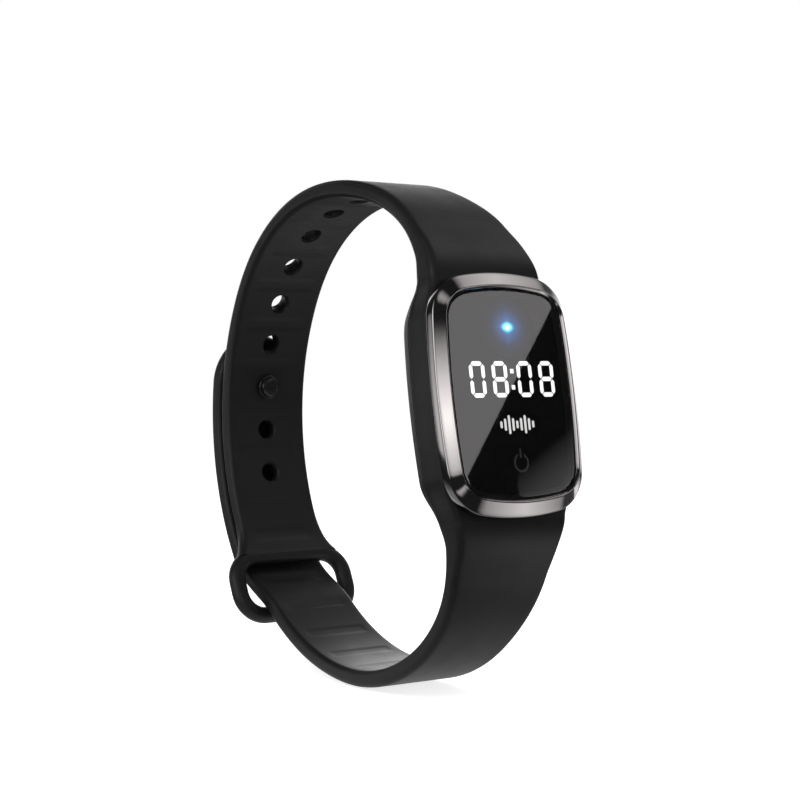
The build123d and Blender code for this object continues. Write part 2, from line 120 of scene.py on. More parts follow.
def makePiece(name, grid, material, wrapRows=False, capEnds=False):
    # one closed surface: a grid of points in millimetres, its ends closed by one face each
    rows, columns = grid.shape[:2]
    points = grid.reshape(-1, 3)
    faces = gridFaces(rows, columns, wrapRows, True)
    turned = signedVolume(points - points.mean(0), faces) < 0
    if turned:
        faces = faces[:, ::-1]
    loops = faces.tolist()
    if capEnds:
        first = list(range(columns))
        last = list(range((rows - 1) * columns, rows * columns))
        loops.append(first if turned else first[::-1])
        loops.append(last[::-1] if turned else last)
    mesh = bpy.data.meshes.new(name)
    mesh.from_pydata((points * mm).tolist(), [], loops)
    mesh.polygons.foreach_set("use_smooth", np.ones(len(mesh.polygons), bool))
    mesh.materials.append(material)
    piece = bpy.data.objects.new(name, mesh)
    bpy.context.collection.objects.link(piece)
    return piece


def sharpen(piece, degrees):
    # edges bent more than this many degrees stay sharp
    piece.data.set_sharp_from_angle(angle=np.radians(degrees))


def applyModifiers(piece):
    # the mesh as its modifiers leave it becomes the piece's own
    bpy.context.view_layer.update()
    evaluated = piece.evaluated_get(bpy.context.evaluated_depsgraph_get())
    mesh = bpy.data.meshes.new_from_object(evaluated)
    piece.modifiers.clear()
    piece.data = mesh


def cutAway(piece, cutters):
    # each cutter is taken out of the piece, then thrown away
    for cutter in cutters:
        step = piece.modifiers.new("cut", "BOOLEAN")
        step.operation = "DIFFERENCE"
        step.solver = "EXACT"
        step.object = cutter
        applyModifiers(piece)
        bpy.data.objects.remove(cutter, do_unlink=True)


def newMaterial(name):
    material = bpy.data.materials.new(name)
    material.use_nodes = True
    nodes = material.node_tree.nodes
    shader = nodes["Principled BSDF"]
    return material, nodes, material.node_tree.links, shader


def objectNoise(nodes, links, scale, detail=3.0):
    # noise fixed to the piece, scale in features per metre
    place = nodes.new("ShaderNodeTexCoord")
    noise = nodes.new("ShaderNodeTexNoise")
    noise.inputs["Scale"].default_value = scale
    noise.inputs["Detail"].default_value = detail
    noise.inputs["Roughness"].default_value = 0.55
    links.new(place.outputs["Object"], noise.inputs["Vector"])
    return noise.outputs["Fac"]


def ramp(nodes, links, source, low, high, start=0.3, end=0.7):
    # the source's start..end becomes low..high
    step = nodes.new("ShaderNodeMapRange")
    step.inputs["From Min"].default_value = start
    step.inputs["From Max"].default_value = end
    step.inputs["To Min"].default_value = low
    step.inputs["To Max"].default_value = high
    links.new(source, step.inputs["Value"])
    return step.outputs["Result"]


def maths(nodes, links, operation, first, second):
    # two values joined by one step of arithmetic; the second may be a plain number
    step = nodes.new("ShaderNodeMath")
    step.operation = operation
    links.new(first, step.inputs[0])
    if isinstance(second, float):
        step.inputs[1].default_value = second
    else:
        links.new(second, step.inputs[1])
    return step.outputs[0]


def mixColours(nodes, links, factor, first, second):
    step = nodes.new("ShaderNodeMix")
    step.data_type = "RGBA"
    step.inputs[6].default_value = (*first, 1)
    step.inputs[7].default_value = (*second, 1)
    links.new(factor, step.inputs[0])
    return step.outputs[2]


def addBump(nodes, links, shader, height, distance):
    # a grain this many millimetres deep
    bump = nodes.new("ShaderNodeBump")
    bump.inputs["Strength"].default_value = 1.0
    bump.inputs["Distance"].default_value = distance * mm
    links.new(height, bump.inputs["Height"])
    links.new(bump.outputs["Normal"], shader.inputs["Normal"])


def surfaceMaterial(name, look):
    # colour that varies between two shades, roughness that varies, and a fine grain
    material, nodes, links, shader = newMaterial(name)
    clouds = objectNoise(nodes, links, look.get("cloudScale", 120))
    grain = objectNoise(nodes, links, look.get("grainScale", 4000), 2.0)
    links.new(mixColours(nodes, links, clouds, *look["colours"]), shader.inputs["Base Color"])
    links.new(ramp(nodes, links, clouds, *look["roughness"]), shader.inputs["Roughness"])
    for socket, key, usual in (("Metallic", "metallic", 0.0), ("Specular IOR Level", "specular", 0.5),
                               ("Coat Weight", "coat", 0.0), ("Coat Roughness", "coatRoughness", 0.1)):
        shader.inputs[socket].default_value = look.get(key, usual)
    if "emission" in look:
        shader.inputs["Emission Color"].default_value = (*look["emission"], 1)
        shader.inputs["Emission Strength"].default_value = look["emissionStrength"]
    addBump(nodes, links, shader, grain, look.get("grain", 0.004))
    return material


looks = {
    "silicone": {"colours": ((0.0070, 0.0070, 0.0078), (0.0095, 0.0095, 0.0103)),
                 "roughness": (0.40, 0.48), "specular": 0.30, "cloudScale": 160,
                 "grainScale": 9000, "grain": 0.006},
    "studPlastic": {"colours": ((0.008, 0.008, 0.009), (0.012, 0.012, 0.013)),
                    "roughness": (0.20, 0.28), "specular": 0.5, "grain": 0.001},
    "gunmetal": {"colours": ((0.29, 0.28, 0.28), (0.32, 0.31, 0.31)),
                 "roughness": (0.06, 0.09), "metallic": 1.0, "cloudScale": 300,
                 "grainScale": 12000, "grain": 0.0006},
    "blackPrint": {"colours": ((0.0015, 0.0015, 0.0018), (0.0025, 0.0025, 0.0028)),
                   "roughness": (0.5, 0.6), "specular": 0.1, "grain": 0.001},
    "litWhite": {"colours": ((0.8, 0.8, 0.8), (0.85, 0.85, 0.85)),
                 "roughness": (0.3, 0.4), "emission": (1.0, 1.0, 1.0), "emissionStrength": 2.7},
    "iconWhite": {"colours": ((0.5, 0.5, 0.5), (0.55, 0.55, 0.55)),
                  "roughness": (0.3, 0.4), "emission": (1.0, 1.0, 1.0), "emissionStrength": 1.6},
    # the touch mark's dark print, with a faint painted glow added as emission
    "touchInkGlow": {"colours": ((0.03, 0.03, 0.032), (0.04, 0.04, 0.042)),
                 "roughness": (0.4, 0.5), "emission": (1.0, 1.0, 1.0), "emissionStrength": 0.04},
    "blueGuide": {"colours": ((0.1, 0.3, 0.6), (0.12, 0.34, 0.64)),
                  "roughness": (0.2, 0.3), "emission": (0.55, 0.92, 1.0), "emissionStrength": 6.0},
    "casePlastic": {"colours": ((0.012, 0.012, 0.013), (0.016, 0.016, 0.017)),
                    "roughness": (0.42, 0.52), "grainScale": 6000, "grain": 0.008},
    "coverPlastic": {"colours": ((0.011, 0.011, 0.012), (0.015, 0.015, 0.016)),
                     "roughness": (0.5, 0.6), "grainScale": 3500, "grain": 0.014},
    "softRubber": {"colours": ((0.02, 0.02, 0.02), (0.03, 0.03, 0.03)),
                   "roughness": (0.6, 0.75)},
    "blackTape": {"colours": ((0.012, 0.012, 0.012), (0.02, 0.02, 0.02)),
                  "roughness": (0.6, 0.7)},
    "greenBoard": {"colours": ((0.012, 0.07, 0.03), (0.016, 0.10, 0.045)),
                   "roughness": (0.3, 0.4), "coat": 0.5, "grainScale": 1500},
    "copperFoil": {"colours": ((0.75, 0.42, 0.25), (0.85, 0.5, 0.32)),
                   "roughness": (0.25, 0.4), "metallic": 1.0},
    "ivoryPlastic": {"colours": ((0.55, 0.52, 0.43), (0.6, 0.57, 0.48)),
                     "roughness": (0.4, 0.5)},
    "chipPackage": {"colours": ((0.02, 0.02, 0.021), (0.028, 0.028, 0.03)),
                    "roughness": (0.5, 0.65), "grainScale": 5000, "grain": 0.008},
    "platedCan": {"colours": ((0.62, 0.62, 0.62), (0.7, 0.7, 0.7)),
                  "roughness": (0.25, 0.35), "metallic": 1.0, "grainScale": 2500},
    "clearLight": {"colours": ((0.75, 0.72, 0.5), (0.8, 0.78, 0.58)),
                   "roughness": (0.15, 0.25)},
    "blackFoam": {"colours": ((0.02, 0.02, 0.02), (0.04, 0.04, 0.04)),
                  "roughness": (0.85, 0.95), "grainScale": 2500, "grain": 0.05},
    "foilPouch": {"colours": ((0.5, 0.51, 0.53), (0.58, 0.59, 0.61)),
                  "roughness": (0.3, 0.45), "metallic": 0.9, "cloudScale": 400, "grain": 0.02},
    "blackScrew": {"colours": ((0.09, 0.09, 0.095), (0.13, 0.13, 0.135)),
                   "roughness": (0.3, 0.4), "metallic": 1.0},
    "goldPlate": {"colours": ((0.85, 0.6, 0.25), (0.92, 0.68, 0.32)),
                  "roughness": (0.18, 0.28), "metallic": 1.0, "grain": 0.002},
}
materials = {name: surfaceMaterial(name, look) for name, look in looks.items()}


glassLooks = {
    # the top mirrors, and lets a good part of the light below it through
    "smokedGlass": {"Roughness": 0.02, "IOR": 1.75, "Alpha": 0.6},
    # the underside is bonded to the print, where nothing mirrors
    "bondedGlass": {"Roughness": 1.0, "Specular IOR Level": 0.0, "Alpha": 0.02},
}


def glassMaterial(name, look):
    # near black with a faint drift of tint
    material, nodes, links, shader = newMaterial(name)
    tint = objectNoise(nodes, links, 90)
    links.new(mixColours(nodes, links, tint, (0.002, 0.002, 0.002), (0.003, 0.003, 0.003)),
              shader.inputs["Base Color"])
    for socket, value in look.items():
        shader.inputs[socket].default_value = value
    return material


materials.update({name: glassMaterial(name, look) for name, look in glassLooks.items()})
print("materials made:", len(materials))


path = {
    "turns": np.radians([49.0, 38.0, 54.0, 52.0, 41.0, 23.0, 60.0, 43.0]),
    "radii": [12.0, 37.0, 27.0, 0.0, 36.0, 35.0, 0.0, 16.5],  # zeros close the loop
    "solved": [3, 6],
    "softening": 2.2, "softSteps": 200,  # how far a change of curvature spreads
    "step": 0.05,
}
band = {
    "thick": 2.56, "halfWide": 7.5, "halfWideAtCase": 9.5, "flareFrom": -3.0, "flareTo": -21.5,
    "lowerFlareFrom": -31.0, "lowerFlareTo": -9.0, "neckExtra": 0.45, "neckReach": 4.0,
    "innerFace": -7.3, "backOfCradle": -9.3, "rim": -2.85, "shoulderReach": 8.0,
    "outerEdge": 0.95, "innerEdge": 0.8, "rimEdge": 0.3, "bevelIn": 0.95, "bevelTall": 2.1,
    "bevelHalfTall": 12.0, "bevelFade": 5.5,  # where the cradle's bevel ends up and down
    "backBelow": 11.5, "backAbove": 9.5, "backFade": 8.5,  # where the cradle's back is flat
    "cradleBlend": 1.6, "skin": 0.02, "leastEdge": 0.02, "bevelFlatness": 0.46, "beadClear": 0.45,
    "beads": ((0.42, 0.0), (0.34, -0.02), (0.22, -0.07), (0.10, -0.065)),  # above the bevel, sink
    "flareOut": 2.2, "flareReach": 8.0, "barFrom": 5.0, "barOver": 4.6, "barEdge": 1.3,
    "endExtra": 0.04, "endReach": 4.0,
}
ridges = {"halfGap": 0.11, "slope": 0.035, "halfLong": 5.0, "fade": 0.8, "deep": 0.08}
rowsOf = {"step": 0.36, "fineStep": 0.15, "fineReach": 3.5, "fineInset": 2.5, "nearest": 0.06}
holes = {"first": 33.2, "pitch": 7.2, "count": 9, "studHole": 6, "radius": 1.5, "rimBevel": 0.22}
clasp = {
    "loopAt": 105.0, "barSpacing": 8.6, "barRadius": 1.35, "wide": 23.4, "corner": 3.9,
    "layerGap": 0.57, "crossing": 12.0, "tailPastStud": 7.5, "tailCorner": 7.3, "tailEdge": 0.7,
    "tailTip": 0.05, "splitAt": 117.0, "bendAboveLoop": 2.5, "bendBelowStud": 8.0,
}
caseShape = {
    "halfWide": (bezelHigh[0] - bezelLow[0]) / 2, "halfTall": 17.35, "sideBow": 131.0,
    "endBow": 40.0, "corner": 6.4, "cradleInset": 0.3, "pocketInset": 1.55, "pocketFloor": -7.3,
    "pocketTop": 3.0,
}
cradleHalfTall = caseShape["halfTall"] - caseShape["cradleInset"]


def unitChord(heading, turn):
    # the chord of an arc of radius 1 that turns clockwise
    return np.array([np.sin(heading) - np.sin(heading - turn),
                     np.cos(heading - turn) - np.cos(heading)])


def closedRadii(startHeading, start, end):
    # two radii are solved so that the chain of arcs ends where the case's lower end is
    headings = startHeading - np.concatenate([[0], np.cumsum(path["turns"])[:-1]])
    chords = np.array([unitChord(heading, turn) for heading, turn in zip(headings, path["turns"])])
    radii = np.array(path["radii"])
    rest = end - start - (chords * radii[:, None]).sum(0)
    radii[path["solved"]] = np.linalg.solve(chords[path["solved"]].T, rest)
    return radii


def buildPath():
    # heading is the running sum of a softened curvature; the point is the running sum of heading
    toPlane = lambda point: point[1:]
    top = toPlane(caseOrigin + cradleHalfTall * caseUp + band["innerFace"] * caseOut)
    bottom = toPlane(caseOrigin - cradleHalfTall * caseUp + band["innerFace"] * caseOut)
    heading = np.arctan2(caseUp[2], caseUp[1])
    radii = closedRadii(heading, top, bottom)
    lengths = radii * path["turns"]
    length = lengths.sum()
    period = length + 2 * cradleHalfTall
    at = np.arange(0, period, path["step"])
    step = period / len(at)
    edges = np.cumsum(lengths)
    which = np.searchsorted(edges, at, side="right")
    curvature = np.where(which < len(radii), 1 / np.append(radii, 1.0)[which], 0.0)
    window = path["softSteps"]
    reach = np.arange(-window, window + 1) * path["step"]
    weights = np.exp(-0.5 * (reach / path["softening"]) ** 2)
    spread = np.concatenate([curvature[-window:], curvature, curvature[:window]])
    curvature = np.convolve(spread, weights / weights.sum(), "valid")
    headings = -(np.cumsum(curvature) - curvature * 0.5) * step
    middle = int(round((period - cradleHalfTall) / step))
    headings += heading - headings[middle] - 2 * np.pi
    moves = np.stack([np.cos(headings), np.sin(headings)], 1) * step
    points = np.cumsum(moves, 0) - moves / 2
    points -= np.outer(at / period, points[-1] + moves[-1] / 2)
    return at, points + (top + bottom) / 2 - points[middle], headings, length, period


pathAt, pathPoints, pathHeadings, pathLength, pathPeriod = buildPath()
print("band path", round(pathLength, 2), "mm, with the cradle", round(pathPeriod, 2))


def onPath(at, out=0.0):
    # points and outward normals in the middle plane, at lengths along the path
    turns = np.floor(np.asarray(at) / pathPeriod)
    at = np.asarray(at) - turns * pathPeriod
    y, z = (np.interp(at, pathAt, points, period=pathPeriod) for points in pathPoints.T)
    heading = np.interp(at, np.append(pathAt, pathPeriod),
                        np.append(pathHeadings, pathHeadings[0] - 2 * np.pi))
    normal = np.stack([0 * heading, -np.sin(heading), np.cos(heading)], -1)
    point = np.stack([0 * y, y, z], -1) + normal * np.asarray(out)[..., None]
    return point, normal


def cornerCentre():
    # where a circle of the corner's radius touches both the side's arc and the end's arc
    sideMiddle = np.array([caseShape["halfWide"] - caseShape["sideBow"], 0])
    endMiddle = np.array([0, caseShape["halfTall"] - caseShape["endBow"]])
    fromSide = caseShape["sideBow"] - caseShape["corner"]
    fromEnd = caseShape["endBow"] - caseShape["corner"]
    apart = endMiddle - sideMiddle
    between = np.linalg.norm(apart)
    along = (fromSide ** 2 - fromEnd ** 2 + between ** 2) / (2 * between)
    off = np.sqrt(fromSide ** 2 - along ** 2)
    way = apart / between
    square = np.array([-way[1], way[0]])
    centre = sideMiddle + along * way + off * square
    if centre[0] < 0 or centre[1] < 0:
        centre = sideMiddle + along * way - off * square
    return sideMiddle, endMiddle, centre


sideMiddle, endMiddle, cornerMiddle = cornerCentre()
sideAngle = np.arctan2(*(cornerMiddle - sideMiddle)[::-1])
endAngle = np.arctan2(*(cornerMiddle - endMiddle)[::-1])


def outlineAngles(perSide=28, perCorner=22, perEnd=28):
    # normal directions round the outline, spread by length
    quarter = np.concatenate([np.linspace(0, sideAngle, perSide // 2, endpoint=False),
                              np.linspace(sideAngle, endAngle, perCorner, endpoint=False),
                              np.linspace(endAngle, np.pi / 2, perEnd // 2, endpoint=False)])
    second = np.pi - quarter[::-1]
    half = np.concatenate([quarter, [np.pi / 2], second[:-1]])
    return np.concatenate([half, half + np.pi])


def outline(angles, sideIn, endIn):
    # side, corner and end arcs, each drawn in along its normal
    turned = np.arctan2(np.abs(np.sin(angles)), np.abs(np.cos(angles)))
    inset = sideIn * np.cos(angles) ** 2 + endIn * np.sin(angles) ** 2
    onSide, onEnd = turned < sideAngle, turned >= endAngle
    centre = np.where(onSide[..., None], sideMiddle, np.where(onEnd[..., None], endMiddle, cornerMiddle))
    radius = np.where(onSide, caseShape["sideBow"], np.where(onEnd, caseShape["endBow"],
                                                              caseShape["corner"])) - inset
    x = centre[..., 0] + radius * np.cos(turned)
    y = centre[..., 1] + radius * np.sin(turned)
    return np.stack([x * np.sign(np.cos(angles) + 1e-12), y * np.sign(np.sin(angles) + 1e-12)], -1)


def sweptOutline(profile):
    # a profile of (side inset, end inset, height) carried round the case's outline
    side, end, height = (np.array(column) for column in zip(*profile))
    flat = outline(outlineAngles()[:, None], side[None, :], end[None, :])
    return caseToWorld(np.concatenate([flat, np.broadcast_to(height, flat.shape[:2])[..., None]], -1))


def cradleHalfWidth(v):
    # the cradle's outline read as half width against height, 0 past its ends
    angles = np.linspace(-np.pi / 2, np.pi / 2, 721)
    edge = outline(angles, caseShape["cradleInset"], caseShape["cradleInset"])
    width = np.interp(v, edge[:, 1], edge[:, 0])
    return np.where(np.abs(v) < cradleHalfTall, width, 0.0)


def softMax(a, b, softness):
    # the larger of two, with the crossing rounded off by a hyperbola
    return (a + b + np.sqrt((a - b) ** 2 + softness ** 2)) / 2


def grooves(at, across):
    # shallow cross-wise hollows between the holes, fading out before the edges
    phase = (at % pathPeriod - holes["first"]) / holes["pitch"] % 1.0
    ridge = smoothStep((np.abs(phase - 0.5) - ridges["halfGap"]) / ridges["slope"])
    fade = 1 - smoothStep((np.abs(across) - ridges["halfLong"]) / ridges["fade"])
    return ridges["deep"] * (1 - ridge) * fade


def bandSection(at, rise=0.0, thickEnd=None, tip=None, flareAt=None):
    # a rounded section whose width, thickness and edges change along the path
    at = np.asarray(at, float)
    v = at - pathLength - cradleHalfTall
    v = np.where(v < -pathPeriod / 2, v + pathPeriod, v)
    middle, normal = onPath(at)
    past = np.abs(v) - cradleHalfTall
    above = (band["flareFrom"] - middle[:, 1]) / (band["flareFrom"] - band["flareTo"])
    below = (middle[:, 2] - band["lowerFlareFrom"]) / (band["lowerFlareTo"] - band["lowerFlareFrom"])
    below = np.where(middle[:, 1] < band["flareFrom"], below, 0.0)
    width = band["halfWide"] + (band["halfWideAtCase"] - band["halfWide"]) * smoothStep(
        np.where(middle[:, 2] < 0, below, above))
    width = width + band["neckExtra"] * (1 - smoothStep(past / band["neckReach"]))
    width = softMax(width, cradleHalfWidth(v), band["cradleBlend"]) - band["skin"]
    if flareAt is not None:
        near = np.clip((at - flareAt + band["flareReach"]) / band["flareReach"], 0, 1)
        width = width + band["flareOut"] * near ** 3
        barLike = smoothStep((at - flareAt + band["barFrom"]) / band["barOver"])
    inCradle = 1 - smoothStep((np.abs(v) - band["bevelHalfTall"]) / band["bevelFade"])
    flatTo = np.where(v < 0, band["backBelow"], band["backAbove"])
    inBack = 1 - smoothStep((np.abs(v) - flatTo) / band["backFade"])
    low = (band["backOfCradle"] - band["innerFace"]) * inBack
    top = (band["rim"] - band["innerFace"]) - band["thick"]
    high = band["thick"] + top * (1 - smoothStep(past / band["shoulderReach"]))
    bevelIn = band["innerEdge"] + (band["bevelIn"] - band["innerEdge"]) * inCradle
    bevelTall = band["innerEdge"] + (band["bevelTall"] - band["innerEdge"]) * inCradle
    edge = band["outerEdge"] + (band["rimEdge"] - band["outerEdge"]) * inCradle
    if flareAt is not None:
        bevelIn, bevelTall, edge = (value + (band["barEdge"] - value) * barLike
                                    for value in (bevelIn, bevelTall, edge))
    if thickEnd is not None:
        low = low - thickEnd
        high = high + thickEnd
    if tip is not None:
        width = width - tip[0]
        low = low + tip[1]
        high = high - tip[1]
        edge, bevelIn, bevelTall = (np.maximum(value - tip[1], band["leastEdge"])
                                    for value in (edge, bevelIn, bevelTall))
    low = low + rise
    high = high + rise
    return middle, normal, width, low, high, edge, bevelIn, bevelTall, inCradle


def sectionGrid(at, rise=0.0, thickEnd=None, tip=None, flareAt=None):
    # each row is the section there: round outer edges, straight sides, bevelled inner edges,
    # and a back whose columns are close enough to carry the ridges
    middle, normal, width, low, high, edge, bevelIn, bevelTall, inCradle = bandSection(
        at, rise, thickEnd, tip, flareAt)
    quarter = np.linspace(0, np.pi / 2, 8)
    power = 1 - band["bevelFlatness"] * inCradle  # 1 is a round edge, less is a flatter bevel
    underBead = low + bevelTall + band["beadClear"] * inCradle
    columns = []
    for part in np.linspace(0, 1, 9)[:-1]:  # middle of the outer face to its right edge
        columns.append(((width - edge) * part, high))
    for turn in quarter:
        columns.append((width - edge * (1 - np.sin(turn)), high - edge * (1 - np.cos(turn))))
    for part in np.linspace(0, 1, 5)[1:-1]:
        columns.append((width, (high - edge) * (1 - part) + underBead * part))
    for up, sink in band["beads"]:  # a fine bead above the cradle's bevel
        columns.append((width - sink * inCradle, low + bevelTall + up * inCradle))
    for turn in quarter:
        lean = np.power(np.cos(turn), 1 / power) if turn < 1.57 else 0 * power
        drop = np.power(np.sin(turn), 1 / power) if turn > 0 else 0 * power
        columns.append((width - bevelIn * (1 - lean), low + bevelTall * (1 - drop)))
    for part in np.linspace(1, 0, 22)[1:]:
        columns.append(((width - bevelIn) * part, low))
    mirrored = [(-x, height) for x, height in columns[1:-1]][::-1]
    x = np.stack([column[0] for column in columns + mirrored], 1)
    height = np.stack([column[1] for column in columns + mirrored], 1)
    onInner = height < (low + 0.02)[:, None]
    deep = grooves(np.asarray(at)[:, None], x) * (1 - inCradle[:, None])
    height = height + np.where(onInner, deep, 0)
    grid = middle[:, None, :] + normal[:, None, :] * height[..., None]
    grid[..., 0] = x
    return grid


def makeStrap():
    # from the split below the loop, through the cradle and over the top to the loop's upper bar
    start = clasp["splitAt"]
    end = pathPeriod + clasp["loopAt"]
    middle = pathPeriod - cradleHalfTall
    corners = [middle + side * (cradleHalfTall - rowsOf["fineInset"]) for side in (-1, 1)]
    rows = np.arange(start, end, rowsOf["step"])
    fine = np.concatenate([np.arange(corner - rowsOf["fineReach"], corner + rowsOf["fineReach"],
                                     rowsOf["fineStep"]) for corner in corners])
    rows = np.unique(np.concatenate([rows, fine, [end]]).round(3))
    rows = rows[np.concatenate([[True], np.diff(rows) > rowsOf["nearest"]])]
    thickEnd = band["endExtra"] * smoothStep((rows - end + band["endReach"]) / band["endReach"])
    grid = sectionGrid(rows, thickEnd=thickEnd, flareAt=end)
    piece = makePiece("bandMoulding", grid, materials["silicone"], capEnds=True)
    cutters = [holeCutter(index) for index in range(holes["count"])]
    cutters.append(pocketCutter())
    cutAway(piece, cutters)
    sharpen(piece, 50)
    return piece


def revolved(profile, at, sides=40):
    # a profile of (radius, height) turned about the band's outward normal at a length
    origin, out = onPath(np.array([at]))
    origin, out = origin[0], out[0]
    along = np.cross(out, acrossAxis)
    angle = np.linspace(0, 2 * np.pi, sides, endpoint=False)
    radius, height = (np.array(column) for column in zip(*profile))
    ring = np.cos(angle)[:, None] * acrossAxis + np.sin(angle)[:, None] * along
    return origin + radius[:, None, None] * ring[None] + height[:, None, None] * out


def holeCutter(index):
    # a cylinder that widens in a small bevel at both faces
    radius, bevel = holes["radius"], holes["rimBevel"]
    share = np.sin(np.linspace(0, np.pi / 2, 5))[1:]
    lower = [(radius + bevel, -2.0), (radius + bevel, -0.02)]
    lower += [(radius + bevel * (1 - part), bevel * part) for part in share]
    upper = [(width, band["thick"] - height) for width, height in lower[::-1]]
    at = holes["first"] + index * holes["pitch"]
    return makePiece("cutter", revolved(lower + upper, at), materials["silicone"], capEnds=True)


def pocketCutter():
    # the case's outline, drawn in, from the pocket's floor to above the rim
    profile = [(caseShape["pocketInset"], caseShape["pocketInset"], height)
               for height in (caseShape["pocketFloor"], caseShape["pocketTop"])]
    grid = sweptOutline(profile).transpose(1, 0, 2)
    return makePiece("cutter", grid, materials["silicone"], capEnds=True)


strap = makeStrap()
print("band:", len(strap.data.polygons), "faces")


def crossingRise(at):
    # the lower band climbs through the loop from the inner layer to the outer one
    start = clasp["loopAt"] + (clasp["barSpacing"] + clasp["crossing"]) / 2
    climb = band["thick"] + clasp["layerGap"]
    return climb * smoothStep((start - at) / clasp["crossing"])


studAt = holes["first"] + holes["studHole"] * holes["pitch"]
tailTop = 2 * band["thick"] + clasp["layerGap"]  # the tail's outer face above the band's inner one
studShape = {
    # (radius, depth below the tail's outer face) of the base
    "base": [(0.02, 0.04), (2.3, 0.04), (2.55, 0.10), (2.7, 0.25), (2.7, 0.58), (1.3, 0.6)],
    # (radius, height above the band's inner face) of the stem and the head
    "head": [(1.3, -0.10), (1.45, -0.25), (1.85, -0.27), (1.97, -0.34), (2.0, -0.45), (2.0, -0.60),
             (1.96, -0.68), (1.88, -0.72), (1.78, -0.70), (1.66, -0.62), (1.58, -0.62), (1.52, -0.72),
             (1.49, -0.95), (1.44, -1.05), (1.34, -1.09), (0.9, -1.10), (0.02, -1.10)],
    "seatRadius": 2.78, "seatDeep": 0.6, "stemHoleRadius": 1.34,
}


def makeTail():
    # the band's section drawn in to a round tip, with the stud's seat and stem hole cut out
    tipAt = studAt - clasp["tailPastStud"]
    soft = clasp["tailEdge"]
    corner = clasp["tailCorner"]
    near = tipAt + corner * (1 - np.cos(np.linspace(0, np.pi / 2, 26)))
    rows = np.concatenate([near[:-1], np.arange(tipAt + corner, clasp["splitAt"], rowsOf["step"]),
                           [clasp["splitAt"]]])
    back = np.clip(corner - (rows - tipAt), 0, corner)
    cornerIn = corner - np.sqrt(corner ** 2 - back ** 2)
    cornerIn = np.minimum(cornerIn, corner - clasp["tailTip"])
    end = np.clip(soft - (rows - tipAt), 0, soft)
    endIn = soft - np.sqrt(soft ** 2 - end ** 2)
    grid = sectionGrid(rows, rise=crossingRise(rows), tip=(cornerIn, endIn))
    piece = makePiece("bandTail", grid, materials["silicone"], capEnds=True)
    seat = [(studShape["seatRadius"], tailTop + height) for height in (-studShape["seatDeep"], 2.0)]
    stemHole = [(studShape["stemHoleRadius"], height) for height in (0.5, tailTop + 1.0)]
    cutAway(piece, [makePiece("cutter", revolved(profile, studAt), materials["silicone"], capEnds=True)
                    for profile in (seat, stemHole)])
    sharpen(piece, 50)
    return piece


tail = makeTail()
print("tail:", len(tail.data.polygons), "faces")


def makeLoop():
    # a round bar carried round a rectangle with round corners
    upper, _ = onPath(np.array([clasp["loopAt"]]), band["thick"] / 2)
    lower, _ = onPath(np.array([clasp["loopAt"] + clasp["barSpacing"]]),
                      band["thick"] + clasp["layerGap"] + clasp["barRadius"])
    upper, lower = upper[0], lower[0]
    middle = (upper + lower) / 2
    rise = (upper - lower) / np.linalg.norm(upper - lower)
    facing = np.cross(acrossAxis, rise)
    halfLong = clasp["wide"] / 2 - clasp["barRadius"] - clasp["corner"]
    halfShort = np.linalg.norm(upper - lower) / 2 - clasp["corner"]
    turn = np.linspace(0, np.pi / 2, 14)
    angles = np.concatenate([turn + quarter * np.pi / 2 for quarter in range(4)])
    signX = np.repeat([1, -1, -1, 1], len(turn))
    signY = np.repeat([1, 1, -1, -1], len(turn))
    x = signX * halfLong + clasp["corner"] * np.cos(angles)
    y = signY * halfShort + clasp["corner"] * np.sin(angles)
    centre = middle + x[:, None] * acrossAxis + y[:, None] * rise
    outward = np.cos(angles)[:, None] * acrossAxis + np.sin(angles)[:, None] * rise
    about = np.linspace(0, 2 * np.pi, 28, endpoint=False)
    ring = np.cos(about)[None, :, None] * outward[:, None] + np.sin(about)[None, :, None] * facing
    grid = centre[:, None] + clasp["barRadius"] * ring
    return makePiece("claspLoop", grid, materials["silicone"], wrapRows=True)


loop = makeLoop()


def makeStud():
    # base let into the tail, stem, and a head with a bevelled rim and a dished middle
    profile = [(radius, tailTop - depth) for radius, depth in studShape["base"]] + studShape["head"]
    grid = revolved(profile, studAt, 48)
    piece = makePiece("studPin", grid, materials["studPlastic"], capEnds=True)
    sharpen(piece, 50)
    return piece


stud = makeStud()
print("clasp made")


bezel = {"sideSlope": 1.46, "endSlope": 2.0, "slopeDepth": 1.2, "depth": 2.7, "lip": 0.42,
         "lipDepth": 0.35, "ledge": 0.8, "ledgeAt": -1.15, "glassTop": -0.45, "glassBottom": -0.99,
         "glassClear": 0.02, "edge": 0.14}


